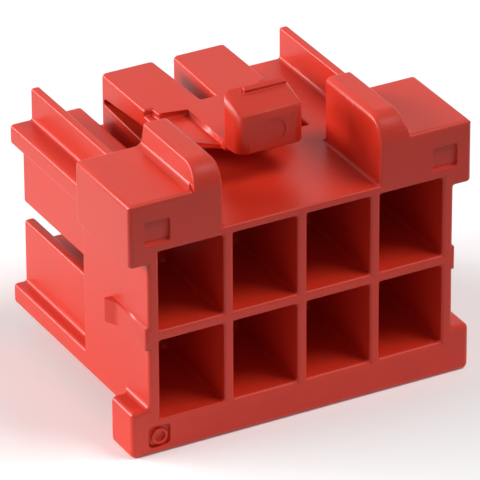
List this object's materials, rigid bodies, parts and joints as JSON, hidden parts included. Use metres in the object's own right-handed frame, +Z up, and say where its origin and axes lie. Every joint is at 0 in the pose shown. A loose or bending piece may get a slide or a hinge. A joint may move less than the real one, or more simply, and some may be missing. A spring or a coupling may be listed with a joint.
{
  "type": "rectangular connector",
  "caption": "Rectangular moulded receptacle housing with a grid of wire-entry cavities, a sprung top latch between guards and a keyed mating nose.",
  "frame": {"origin": "under the middle of the part, level with the foot of the front bar", "axes": "+X along the contact rows, +Y towards the mating end, +Z up on the latch's side"},
  "size_m": [0.0278, 0.0218, 0.0235],
  "materials": {
    "housing": "satin moulded thermoplastic, dyed red"
  },
  "bodies": {
    "root": {"housing": "housing"}
  },
  "joints": []
}
